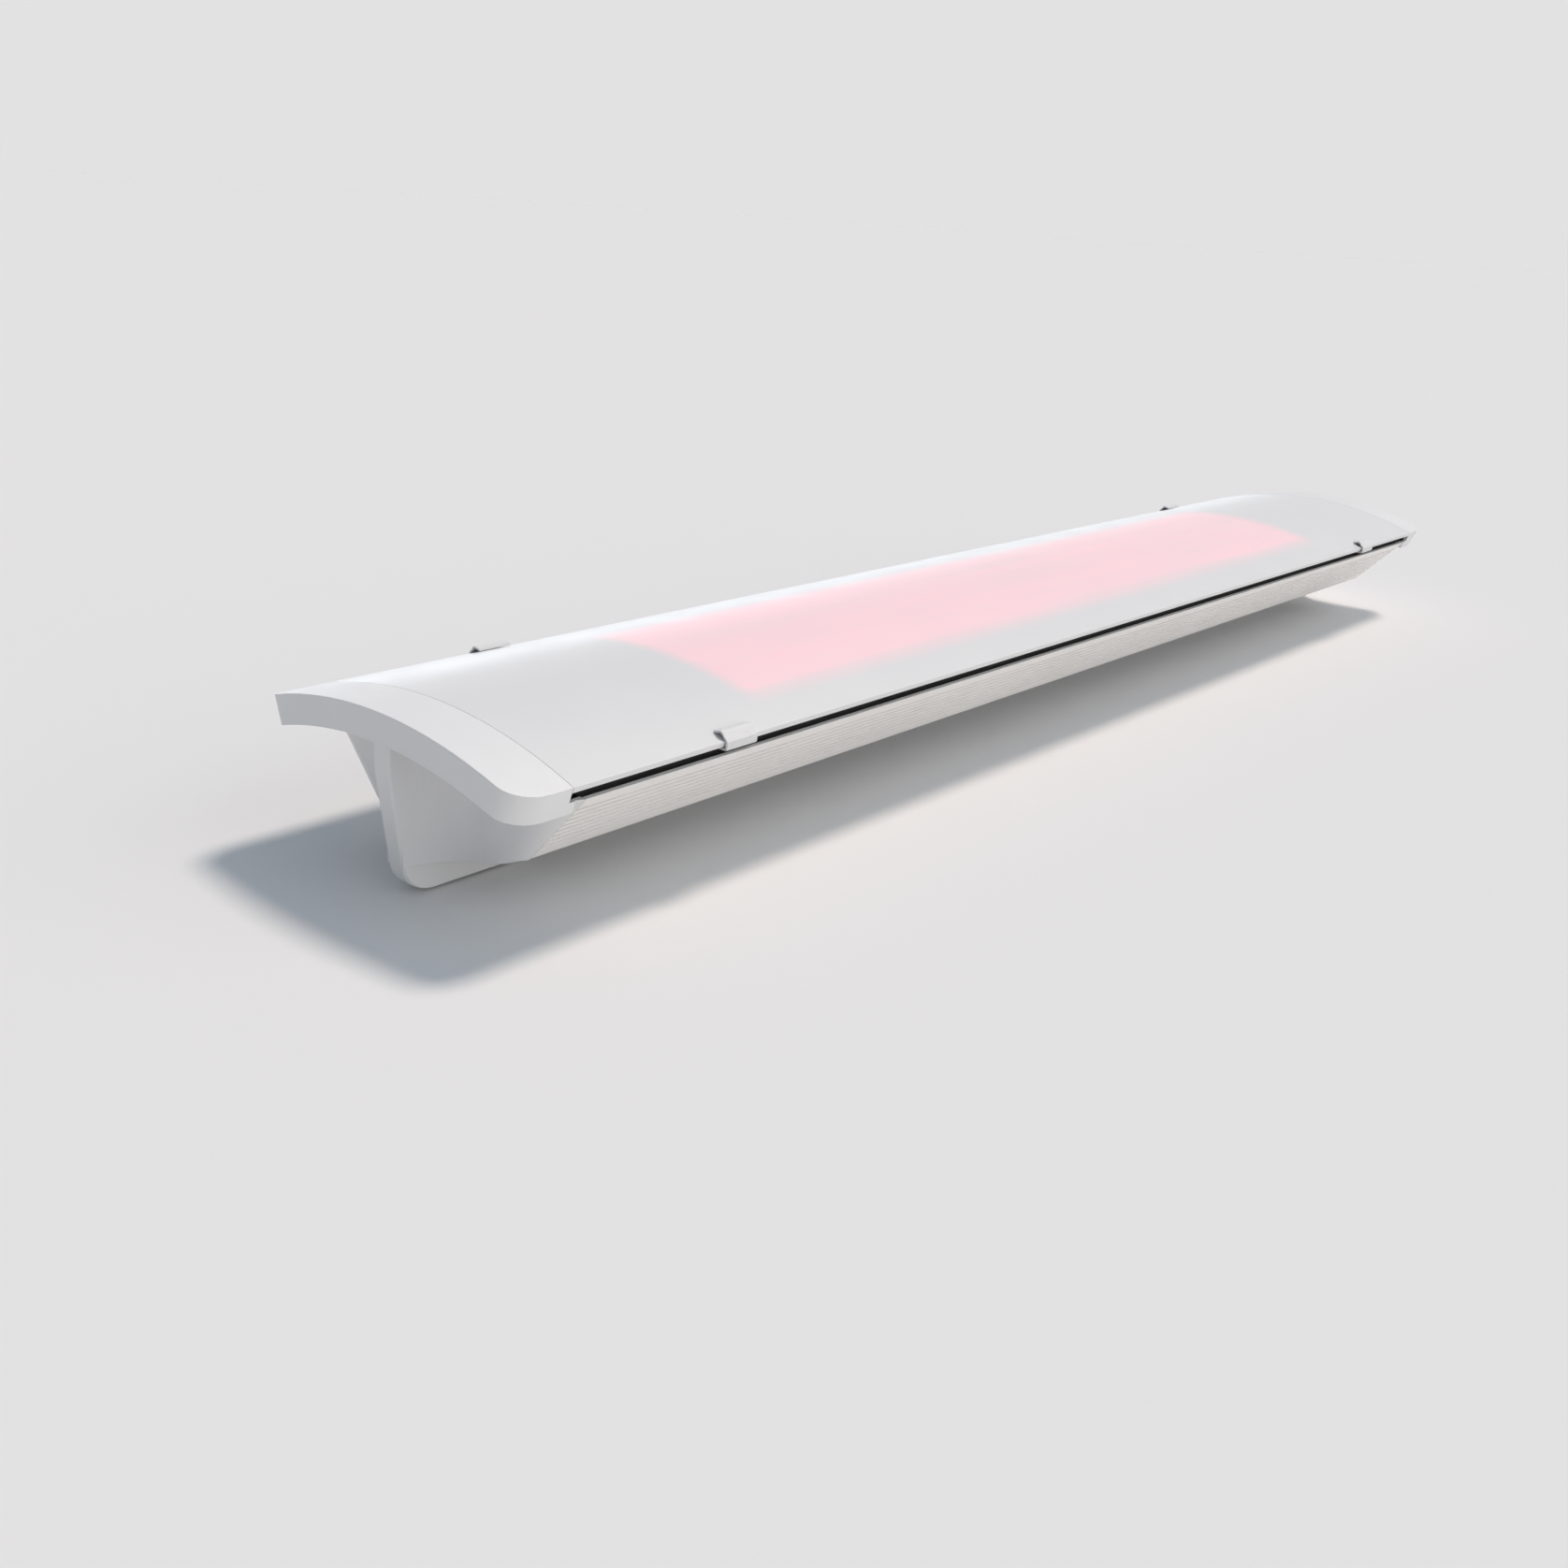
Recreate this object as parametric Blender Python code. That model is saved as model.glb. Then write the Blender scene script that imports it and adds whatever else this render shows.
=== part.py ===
"""Long slim electric infrared radiant heater, lying on its back with the radiating face up.

X runs along the length, Z is up, and the heater is symmetric about the plane Y = 0.
The origin is on the surface it lies on, under the middle. All sizes are in metres.
"""
import bmesh
import bpy
from math import asin, cos, hypot, pi, radians, sin, sqrt, tan
from mathutils import Vector

MM = 0.001

# Driving dimensions
LENGTH = 1100 * MM
EDGE_HALF = 97 * MM          # half width across the glass edges
EDGE_Z = 77.8 * MM           # height of the glass edges
ARC_RADIUS = 292 * MM        # outer radius of the glass and of the end caps' bands
GLASS_T = 3 * MM
GAP = 0.3 * MM               # air between touching pieces
BITE = 1 * MM                # how far shapes that are joined reach into each other

SEAM = 32 * MM               # from a cap's end face to the glass
CAP_LENGTH = 36 * MM         # of the curved band, which reaches a little under the glass
CAP_BODY_LENGTH = 41 * MM    # of the body below the band, which meets the housing
BAND_T = 15.5 * MM           # height of the end caps' curved band
BAND_CORNER_X = 19 * MM      # the band's corners are quarter ellipses in plan
BAND_CORNER_Y = 14 * MM
CAP_SHELL = 3 * MM
WALL_SETBACK = 33 * MM       # from the band's end face to the wall below it
WALL_ROUND_Y = 14 * MM
FIN_T = 12 * MM
FIN_LENGTH = 80 * MM         # from the band's end face along the back
FIN_RAKE = radians(7.8)
FIN_RAKE_TOP_Z = 65 * MM     # the fin's front is upright above this level
FIN_CORNER_R = 16 * MM
FIN_EDGE = 1.2 * MM
FOOT_LIFT = 1.5 * MM         # from the surface that the keel stands on to the caps
FIN_FILLET_R = 26 * MM       # hollow between the fin and the wall
FLARE_HALF = 55 * MM         # the cap's underside falls from here to the fin
FLARE_LOW_Z = 16 * MM
FLARE_POWER = 1.6

FLANK_TOP_Y = 95.4 * MM
FLANK_TOP_Z = 69.9 * MM
FLANK_BOTTOM_Y = 57.4 * MM
BACK_Z = 28 * MM             # underside of the housing's back
SHEET_T = 2.2 * MM
GROOVES = 8
GROOVE_FIRST = 10.6 * MM     # from the flank's top edge
GROOVE_PITCH = 4.9 * MM
GROOVE_HALF = 0.9 * MM
GROOVE_DEPTH = 1.1 * MM

RAIL_HALF = FIN_T / 2
RAIL_FLANGE_HALF = 20 * MM
RAIL_FLANGE_T = 2.5 * MM
SLOT_MOUTH_HALF = 2.6 * MM
SLOT_CHANNEL_HALF = 4 * MM
SLOT_LIP_T = 2.2 * MM
SLOT_TOP_Z = 7.2 * MM
NUT_LENGTH = 30 * MM
NUT_REST_X = 300 * MM

SCREW_R = 1.9 * MM
SCREW_HOLE_R = 2.3 * MM
SCREW_HEAD_R = 3.6 * MM
SCREW_HEAD_HEIGHT = 2 * MM

CLIP_X = 409 * MM
CLIP_LENGTH = 22 * MM
CLIP_T = 1.2 * MM

HOT_HALF = 364 * MM
TUBE_R = 6 * MM
TUBE_BORE_R = 4.8 * MM
TUBE_PITCH = 36 * MM
TUBE_Z = 61 * MM
TUBE_HALF = 398 * MM
HOLDER_X = 389 * MM

# Segments of round shapes
ARC_SEGMENTS = 24
CORNER_SEGMENTS = 6
SCREW_SEGMENTS = 12
ROUND_SEGMENTS = 24
FLARE_SEGMENTS = 8

# Derived places
HALF = LENGTH / 2
CORNER_TURNS = [pi / 2 * i / CORNER_SEGMENTS for i in range(CORNER_SEGMENTS + 1)]
TIP_ANGLE = asin(EDGE_HALF / ARC_RADIUS)
ARC_CENTRE_Z = EDGE_Z - ARC_RADIUS * cos(TIP_ANGLE)
GLASS_END = HALF - SEAM - GAP
STRIP_END = HALF - CAP_LENGTH - GAP
BODY_END = HALF - CAP_BODY_LENGTH - GAP
RAIL_END = HALF - FIN_LENGTH - GAP
FLANK_SLOPE = (FLANK_TOP_Y - FLANK_BOTTOM_Y) / (FLANK_TOP_Z - BACK_Z)
FLANK_RUN = sqrt(1 + FLANK_SLOPE ** 2)   # level width of a wall of unit thickness
BACK_TOP_Z = BACK_Z + SHEET_T


# ---------------------------------------------------------------- helpers

def clear_scene():
    for obj in list(bpy.data.objects):
        bpy.data.objects.remove(obj, do_unlink=True)


def material(name, colour, roughness, metallic=0.0, emission=None):
    made = bpy.data.materials.new(name)
    made.use_nodes = True
    shader = made.node_tree.nodes["Principled BSDF"]
    shader.inputs["Base Color"].default_value = (*colour, 1.0)
    shader.inputs["Roughness"].default_value = roughness
    shader.inputs["Metallic"].default_value = metallic
    if emission:
        shader.inputs["Emission Color"].default_value = (*emission, 1.0)
        shader.inputs["Emission Strength"].default_value = 0.4
    made.diffuse_color = (*colour, 1.0)
    return made


def object_from(bm, name, finish, location=(0, 0, 0)):
    """Turn a bmesh into a named object with outward faces and smooth round shading."""
    bmesh.ops.recalc_face_normals(bm, faces=bm.faces)
    mesh = bpy.data.meshes.new(name)
    bm.to_mesh(mesh)
    bm.free()
    mesh.materials.append(finish)
    mesh.shade_smooth()
    mesh.set_sharp_from_angle(angle=radians(30))
    obj = bpy.data.objects.new(name, mesh)
    obj.location = location
    bpy.context.scene.collection.objects.link(obj)
    return obj


def add_prism(bm, outline, low, high, axis="X"):
    """Extrude a closed outline between two levels of an axis.

    The outline's points are (y, z) for axis X, (x, z) for axis Y and (x, y) for axis Z.
    """
    def place(point, level):
        a, b = point
        return {"X": (level, a, b), "Y": (a, level, b), "Z": (a, b, level)}[axis]

    first = [bm.verts.new(place(point, low)) for point in outline]
    last = [bm.verts.new(place(point, high)) for point in outline]
    count = len(outline)
    for i in range(count):
        j = (i + 1) % count
        bm.faces.new((first[i], first[j], last[j], last[i]))
    bm.faces.new(first)
    bm.faces.new(last)


def prism(name, finish, outline, low, high, axis="X", location=(0, 0, 0)):
    bm = bmesh.new()
    add_prism(bm, outline, low, high, axis)
    return object_from(bm, name, finish, location)


def rectangle(a_low, a_high, b_low, b_high):
    return [(a_low, b_low), (a_high, b_low), (a_high, b_high), (a_low, b_high)]


def rounded_rectangle(a_half, b_half, radius, steps=3):
    points = []
    for turn, (a_sign, b_sign) in enumerate(((1, 1), (-1, 1), (-1, -1), (1, -1))):
        for i in range(steps + 1):
            angle = (turn + i / steps) * pi / 2
            points.append((a_sign * (a_half - radius) + radius * cos(angle),
                           b_sign * (b_half - radius) + radius * sin(angle)))
    return points


def add_turned(bm, profile, centre, axis, segments=SCREW_SEGMENTS):
    """Turn a profile of (radius, height) points, which starts and ends on the axis."""
    turn = Vector((0, 0, 1)).rotation_difference(Vector(axis))
    centre = Vector(centre)

    def place(radius, height, angle):
        return centre + turn @ Vector((radius * cos(angle), radius * sin(angle), height))

    bottom = bm.verts.new(place(0, profile[0][1], 0))
    top = bm.verts.new(place(0, profile[-1][1], 0))
    rings = [[bm.verts.new(place(radius, height, 2 * pi * i / segments)) for i in range(segments)]
             for radius, height in profile[1:-1]]
    for i in range(segments):
        j = (i + 1) % segments
        bm.faces.new((bottom, rings[0][j], rings[0][i]))
        bm.faces.new((top, rings[-1][i], rings[-1][j]))
        for low, high in zip(rings, rings[1:]):
            bm.faces.new((low[i], low[j], high[j], high[i]))


def turned(name, finish, profile, centre, axis, segments=ROUND_SEGMENTS):
    bm = bmesh.new()
    add_turned(bm, profile, centre, axis, segments)
    return object_from(bm, name, finish)


def screw_profile(shank_r, shank_length, head_r, head_height):
    """A pan head below the level 0 with a round socket, and its shank above."""
    socket_r = head_r * 0.45
    return [(0, -head_height * 0.4), (socket_r, -head_height * 0.4), (socket_r, -head_height),
            (head_r * 0.75, -head_height), (head_r, -head_height * 0.55), (head_r, 0),
            (shank_r, 0), (shank_r, shank_length - shank_r), (shank_r * 0.4, shank_length),
            (0, shank_length)]


def screws(name, finish, places, shank_length):
    """Equal screws with their heads below the given places, one numbered piece each."""
    profile = screw_profile(SCREW_R, shank_length, SCREW_HEAD_R, SCREW_HEAD_HEIGHT)
    for number, place in enumerate(places, start=1):
        turned("%s_%d" % (name, number), finish, profile, place, (0, 0, 1), SCREW_SEGMENTS)


def guide(obj):
    """Keep a cutter out of the model: it is hidden in renders and drawn as wire."""
    obj.hide_render = True
    obj.display_type = "WIRE"
    return obj


def combine(target, other, operation):
    """Join another closed shape to the target, or cut it away, and keep the shape as a guide."""
    step = target.modifiers.new(other.name, "BOOLEAN")
    step.operation = operation
    step.object = guide(other)


def cut_holes(target, places, radius, low, high, finish, axis=(0, 0, 1), mark="holes"):
    """Cut round holes through a piece at several places, from one level of the axis to another."""
    bm = bmesh.new()
    profile = [(0, low), (radius, low), (radius, high), (0, high)]
    for place in places:
        add_turned(bm, profile, place, axis)
    combine(target, object_from(bm, "cut_%s_%s" % (target.name, mark), finish), "DIFFERENCE")


def arc_point(radius, angle):
    return radius * sin(angle), ARC_CENTRE_Z + radius * cos(angle)


def arc_points(radius, angle, segments=ARC_SEGMENTS):
    """Points on the front's arc from -angle to +angle."""
    return [arc_point(radius, angle * (2 * i / segments - 1)) for i in range(segments + 1)]


def arc_strip(outer, inner, angle, segments=ARC_SEGMENTS):
    return arc_points(outer, angle, segments) + arc_points(inner, angle, segments)[::-1]


def flank_y(z, inward=0.0):
    """Level distance of the flank from the middle plane, moved inward square to the flank."""
    return FLANK_BOTTOM_Y + (z - BACK_Z) * FLANK_SLOPE - inward * FLANK_RUN


def mirrored(points):
    """Complete a right-hand outline with its mirror image on the left."""
    return points + [(-y, z) for y, z in reversed(points)]


# ---------------------------------------------------------------- end caps

def loft(name, finish, rings):
    """Skin closed rings of equal length, given as lists of points, and close both ends."""
    bm = bmesh.new()
    rows = [[bm.verts.new(point) for point in ring] for ring in rings]
    count = len(rows[0])
    for low, high in zip(rows, rows[1:]):
        for i in range(count):
            j = (i + 1) % count
            bm.faces.new((low[i], low[j], high[j], high[i]))
    bm.faces.new(rows[0])
    bm.faces.new(rows[-1])
    return object_from(bm, name, finish)


def band_body(name, finish, shell, end_x):
    """The curved band, with plan-rounded outer corners, or its hollow at a shell's distance."""
    places = [(shell + BAND_CORNER_X * (1 - cos(turn)), BAND_CORNER_Y * (1 - sin(turn)))
              for turn in CORNER_TURNS] + [(end_x, 0.0)]
    rings = []
    for x, inside in places:
        half = EDGE_HALF - shell - inside
        strip = arc_strip(ARC_RADIUS - shell, ARC_RADIUS - BAND_T + shell, asin(half / ARC_RADIUS))
        rings.append([(x, y, z) for y, z in strip])
    return loft(name, finish, rings)


def wall_corner():
    """Places along X round the wall's corner, and how far each lies inside the flank."""
    return [(WALL_SETBACK + (CAP_BODY_LENGTH - WALL_SETBACK) * (1 - cos(turn)),
             WALL_ROUND_Y * (1 - sin(turn))) for turn in CORNER_TURNS]


def wall_body(name, finish, shell, end_x):
    """The tapered body below the band, rounded in plan from its end wall into the flanks."""
    top_r = ARC_RADIUS - BAND_T / 2
    places = [(x + shell, inside) for x, inside in wall_corner()]
    if end_x > places[-1][0]:
        places.append((end_x, 0.0))
    rings = []
    for x, inside in places:
        low_z = BACK_Z + shell
        low_y = flank_y(low_z, shell) - inside
        rise = low_z - ARC_CENTRE_Z
        a = 1 + FLANK_SLOPE ** 2
        b = rise + FLANK_SLOPE * low_y
        c = rise ** 2 + low_y ** 2 - top_r ** 2
        climb = (-b + sqrt(b ** 2 - a * c)) / a
        top_angle = asin((low_y + FLANK_SLOPE * climb) / top_r)
        outline = [(-low_y, low_z)] + arc_points(top_r, top_angle, 8) + [(low_y, low_z)]
        rings.append([(x, y, z) for y, z in outline])
    return loft(name, finish, rings)


def fin_outline(edge, end_x, top_z):
    """Side view of the fin: raked front, rounded lower corner, flat foot."""
    lean = tan(FIN_RAKE)
    swing = pi / 2 - FIN_RAKE
    centre_z = FOOT_LIFT + FIN_CORNER_R
    front = edge + GAP
    centre_x = front + (FIN_RAKE_TOP_Z - centre_z) * lean + FIN_CORNER_R / cos(FIN_RAKE)
    points = [(front, top_z), (front, FIN_RAKE_TOP_Z)]
    for i in range(CORNER_SEGMENTS + 3):
        angle = pi + FIN_RAKE + swing * i / (CORNER_SEGMENTS + 2)
        points.append((centre_x + FIN_CORNER_R * cos(angle), centre_z + FIN_CORNER_R * sin(angle)))
    return points + [(end_x, FOOT_LIFT), (end_x, top_z)]


def fin_body(name, finish, end_x, top_z):
    """The fin in the middle of the cap, with its front edges broken."""
    levels = ((-FIN_T / 2, FIN_EDGE), (FIN_EDGE - FIN_T / 2, 0.0),
              (FIN_T / 2 - FIN_EDGE, 0.0), (FIN_T / 2, FIN_EDGE))
    rings = [[(x, y, z) for x, z in fin_outline(edge, end_x, top_z)] for y, edge in levels]
    return loft(name, finish, rings)


def flare_z(y):
    """Height of the cap's underside, which falls in a hollow curve towards the fin."""
    share = max(y - FIN_T / 2, 0) / (FLARE_HALF - FIN_T / 2)
    return FLARE_LOW_Z + (BACK_Z - GAP * 2 - FLARE_LOW_Z) * share ** FLARE_POWER


def flare_body(name, finish, places, top_z):
    """The fin's foot and the sloping underside, as sections of given half widths along X."""
    rings = []
    for x, half in places:
        outline = [(half, top_z)]
        for i in range(FLARE_SEGMENTS + 1):
            y = half + (FIN_T / 2 - half) * i / FLARE_SEGMENTS
            outline.append((y, flare_z(y)))
        outline.append((FIN_T / 2, FOOT_LIFT))
        rings.append([(x, y, z) for y, z in mirrored(outline)])
    return loft(name, finish, rings)


def fillet_body(name, finish, side, top_z):
    """The hollow in plan between one side of the fin and the end wall, cut off at the underside."""
    centre_x, centre_y = WALL_SETBACK - FIN_FILLET_R, FIN_T / 2 + FIN_FILLET_R
    plan = [(WALL_SETBACK + BITE, FIN_T / 2 - BITE), (WALL_SETBACK + BITE, centre_y)]
    for i in range(CORNER_SEGMENTS + 3):
        angle = -pi / 2 * i / (CORNER_SEGMENTS + 2)
        plan.append((centre_x + FIN_FILLET_R * cos(angle), centre_y + FIN_FILLET_R * sin(angle)))
    plan.append((centre_x, FIN_T / 2 - BITE))
    low = [(x, side * y, flare_z(y)) for x, y in plan]
    high = [(x, side * y, top_z) for x, y in plan]
    return loft(name, finish, [low, high])


CAP_SCREW_Y = 40 * MM
CAP_SCREW_INSET = 10 * MM    # from the cap's rear plane into the housing
CAP_SCREW_SEAT_Z = 24.5 * MM
CAP_SCREW_WELL_R = 4.4 * MM
TONGUE_HALF = 7 * MM
TONGUE_LENGTH = 16 * MM
TONGUE_T = 6 * MM


def end_cap_mesh(finish):
    """One end cap in its own frame: the band's end face at X = 0, the housing at +X."""
    fin_top = EDGE_Z + 5 * MM
    cap = band_body("cap_work", finish, 0.0, CAP_LENGTH)
    parts = [wall_body("add_wall", finish, 0.0, CAP_BODY_LENGTH),
             fin_body("add_fin", finish, CAP_LENGTH, fin_top),
             flare_body("add_flare_front", finish,
                        [(x, FLARE_HALF - inside) for x, inside in wall_corner()], BACK_Z + BITE),
             flare_body("add_flare", finish,
                        [(CAP_BODY_LENGTH - BITE, FLARE_HALF), (FIN_LENGTH, FLARE_HALF)], BACK_Z - GAP)]
    parts += [fillet_body("add_fillet_%+d" % side, finish, side, fin_top) for side in (-1, 1)]
    for part in parts:
        combine(cap, part, "UNION")
    for hollow in (band_body("cut_band", finish, CAP_SHELL, CAP_LENGTH * 2),
                   wall_body("cut_wall", finish, CAP_SHELL, CAP_LENGTH * 2)):
        combine(cap, hollow, "DIFFERENCE")
    wide, high, seat_r = EDGE_HALF * 2, EDGE_Z * 2, ARC_RADIUS - GLASS_T - GAP
    combine(cap, prism("cut_slot", finish, rectangle(-wide, wide, FLANK_TOP_Z, high),
                       CAP_LENGTH, CAP_LENGTH * 2), "DIFFERENCE")
    seat = arc_points(seat_r, asin(SIDE_RAIL_OUTER_Y / seat_r), ARC_SEGMENTS)
    seat = ([(-wide, FLANK_TOP_Z), (-SIDE_RAIL_OUTER_Y, FLANK_TOP_Z)] + seat
            + [(SIDE_RAIL_OUTER_Y, FLANK_TOP_Z), (wide, FLANK_TOP_Z), (wide, high), (-wide, high)])
    combine(cap, prism("cut_seat", finish, seat, SEAM, CAP_LENGTH * 2), "DIFFERENCE")

    tongue_low = BACK_TOP_Z + GAP
    screw_places = []
    for side in (-1, 1):
        y = side * CAP_SCREW_Y
        outline = rectangle(y - TONGUE_HALF, y + TONGUE_HALF, tongue_low, tongue_low + TONGUE_T)
        tongue = prism("add_tongue_%+d" % side, finish, outline, WALL_SETBACK + CAP_SHELL / 2,
                       CAP_BODY_LENGTH + TONGUE_LENGTH)
        combine(cap, tongue, "UNION")
        screw_places.append((CAP_BODY_LENGTH + CAP_SCREW_INSET, y, 0))
    cut_holes(cap, screw_places, SCREW_HOLE_R, 0, tongue_low + TONGUE_T - BITE, finish)
    cut_holes(cap, screw_places, CAP_SCREW_WELL_R, 0, CAP_SCREW_SEAT_Z, finish, mark="wells")

    solid = cap.evaluated_get(bpy.context.evaluated_depsgraph_get())
    mesh = bpy.data.meshes.new_from_object(solid)
    mesh.name = "end_cap"
    mesh.shade_smooth()
    mesh.set_sharp_from_angle(angle=radians(30))
    for obj in list(bpy.data.objects):
        if obj.name.startswith(("cap_work", "add_", "cut_")):
            bpy.data.objects.remove(obj, do_unlink=True)
    return mesh


def end_caps(finish):
    mesh = end_cap_mesh(finish)
    for name, x, angle in (("end_cap_left", -HALF, 0.0), ("end_cap_right", HALF, pi)):
        cap = bpy.data.objects.new(name, mesh)
        cap.location = (x, 0, 0)
        cap.rotation_euler = (0, 0, angle)
        bpy.context.scene.collection.objects.link(cap)


# ---------------------------------------------------------------- housing and rear rail

RAIL_SCREW_Y = 13 * MM
RAIL_SCREW_XS = [x * MM for x in (-440, 0, 350)]
RAIL_SCREWS = [(x, side * RAIL_SCREW_Y, BACK_Z - GAP - RAIL_FLANGE_T - GAP)
               for x in RAIL_SCREW_XS for side in (-1, 1)]
CAP_SCREWS = [(end * (HALF - CAP_BODY_LENGTH - CAP_SCREW_INSET), side * CAP_SCREW_Y,
               CAP_SCREW_SEAT_Z - GAP)
              for end in (-1, 1) for side in (-1, 1)]

COVER_X = 410 * MM
COVER_Y = 36 * MM
COVER_HALF_X = 36 * MM
COVER_HALF_Y = 13 * MM
COVER_DEPTH = 16 * MM
COVER_FLANGE = 9 * MM
COVER_SEAL_T = 1.2 * MM
COVER_WALL = 2 * MM
COVER_TOP_Z = BACK_Z - GAP - COVER_SEAL_T - GAP
COVER_SCREW_Y = COVER_Y + 8.5 * MM
COVER_SCREWS = [(COVER_X + end * (COVER_HALF_X + COVER_FLANGE / 2), COVER_SCREW_Y,
                 COVER_TOP_Z - COVER_WALL - GAP) for end in (-1, 1)]
GLAND_NECK_R = 4.5 * MM
GLAND_BODY_R = 7.5 * MM
GLAND_Y = COVER_Y - 4 * MM
GLAND_Z = COVER_TOP_Z - COVER_WALL - GAP - GLAND_BODY_R
WIRE_HOLE = (COVER_X, COVER_Y, 0)
WIRE_HOLE_R = 7 * MM


def flank_outline():
    """Right-hand outer face from the top edge down, with its fine grooves."""
    length = hypot(FLANK_TOP_Y - FLANK_BOTTOM_Y, FLANK_TOP_Z - BACK_Z)
    down_y = (FLANK_BOTTOM_Y - FLANK_TOP_Y) / length
    down_z = (BACK_Z - FLANK_TOP_Z) / length

    def place(along, depth):
        return (FLANK_TOP_Y + along * down_y + depth * down_z,
                FLANK_TOP_Z + along * down_z - depth * down_y)

    points = [place(0, 0)]
    for i in range(GROOVES):
        middle = GROOVE_FIRST + i * GROOVE_PITCH
        points += [place(middle - GROOVE_HALF, 0), place(middle - GROOVE_HALF / 2, GROOVE_DEPTH),
                   place(middle + GROOVE_HALF / 2, GROOVE_DEPTH), place(middle + GROOVE_HALF, 0)]
    break_edge = 1 * MM
    points.append(place(length - break_edge, 0))
    points.append((FLANK_BOTTOM_Y - break_edge, BACK_Z))
    return points


def housing(finish):
    """The ribbed trough: two sloping flanks and the flat back."""
    outer = flank_outline()
    inner = [(flank_y(FLANK_TOP_Z, SHEET_T), FLANK_TOP_Z), (flank_y(BACK_TOP_Z, SHEET_T), BACK_TOP_Z)]
    outline = mirrored(outer) + mirrored(inner)[::-1]
    trough = prism("housing_trough", finish, outline, -BODY_END, BODY_END)
    places = RAIL_SCREWS + CAP_SCREWS + COVER_SCREWS
    level = [(x, y, 0) for x, y, z in places]
    cut_holes(trough, level, SCREW_HOLE_R, BACK_Z - SHEET_T, BACK_TOP_Z + SHEET_T, finish)
    opening = turned("cut_wire_hole", finish,
                     [(0, BACK_Z - SHEET_T), (WIRE_HOLE_R, BACK_Z - SHEET_T),
                      (WIRE_HOLE_R, BACK_TOP_Z + SHEET_T), (0, BACK_TOP_Z + SHEET_T)],
                     WIRE_HOLE, (0, 0, 1))
    combine(trough, opening, "DIFFERENCE")


def rear_rail(finish):
    """The keel along the back, with a flange against the housing and a T-slot in its foot."""
    top = BACK_Z - GAP
    flange_low = top - RAIL_FLANGE_T
    outline = mirrored([
        (RAIL_FLANGE_HALF, top), (RAIL_FLANGE_HALF, flange_low), (RAIL_HALF, flange_low),
        (RAIL_HALF, 0), (SLOT_MOUTH_HALF, 0), (SLOT_MOUTH_HALF, SLOT_LIP_T),
        (SLOT_CHANNEL_HALF, SLOT_LIP_T), (SLOT_CHANNEL_HALF, SLOT_TOP_Z)])
    rail = prism("rear_rail", finish, outline, -RAIL_END, RAIL_END)
    wall = 2 * MM
    cell = rectangle(wall - RAIL_HALF, RAIL_HALF - wall, SLOT_TOP_Z + wall, flange_low - wall)
    combine(rail, prism("cut_rail_cell", finish, cell, -HALF, HALF), "DIFFERENCE")
    level = [(x, y, 0) for x, y, z in RAIL_SCREWS]
    cut_holes(rail, level, SCREW_HOLE_R, flange_low - wall, top + wall, finish)


def slide_nuts(finish):
    """Two captive nuts that slide along the rail's T-slot and take the mounting brackets."""
    head_half = SLOT_CHANNEL_HALF - GAP
    neck_half = SLOT_MOUTH_HALF - GAP
    neck_low = 0.5 * MM
    head_low = SLOT_LIP_T + GAP
    head_high = SLOT_TOP_Z - 1 * MM
    thread_r = 1.6 * MM
    outline = mirrored([(neck_half, neck_low), (neck_half, head_low),
                        (head_half, head_low), (head_half, head_high)])
    for name, x in (("slide_nut_left", -NUT_REST_X), ("slide_nut_right", NUT_REST_X)):
        nut = prism(name, finish, outline, -NUT_LENGTH / 2, NUT_LENGTH / 2, location=(x, 0, 0))
        cut_holes(nut, [(x, 0, 0)], thread_r, -head_high, head_high * 2, finish)


# ---------------------------------------------------------------- glass and its supports

SIDE_RAIL_OUTER_Y = 88.5 * MM
SIDE_RAIL_INNER_Y = 79 * MM
SIDE_RAIL_T = 1.5 * MM
SIDE_RAIL_LOW_Z = 66.7 * MM
SIDE_RAIL_DROP = 1.4 * MM    # below the glass, for the tape
CLIP_LEG_Z = 73.1 * MM
CLIP_SLOT_CLEAR = 0.4 * MM


def glass_under_z(y):
    return ARC_CENTRE_Z + sqrt((ARC_RADIUS - GLASS_T) ** 2 - y ** 2)


def glass_panel(finish):
    strip = arc_strip(ARC_RADIUS, ARC_RADIUS - GLASS_T, TIP_ANGLE)
    prism("glass_panel", finish, strip, -GLASS_END, GLASS_END)


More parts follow.
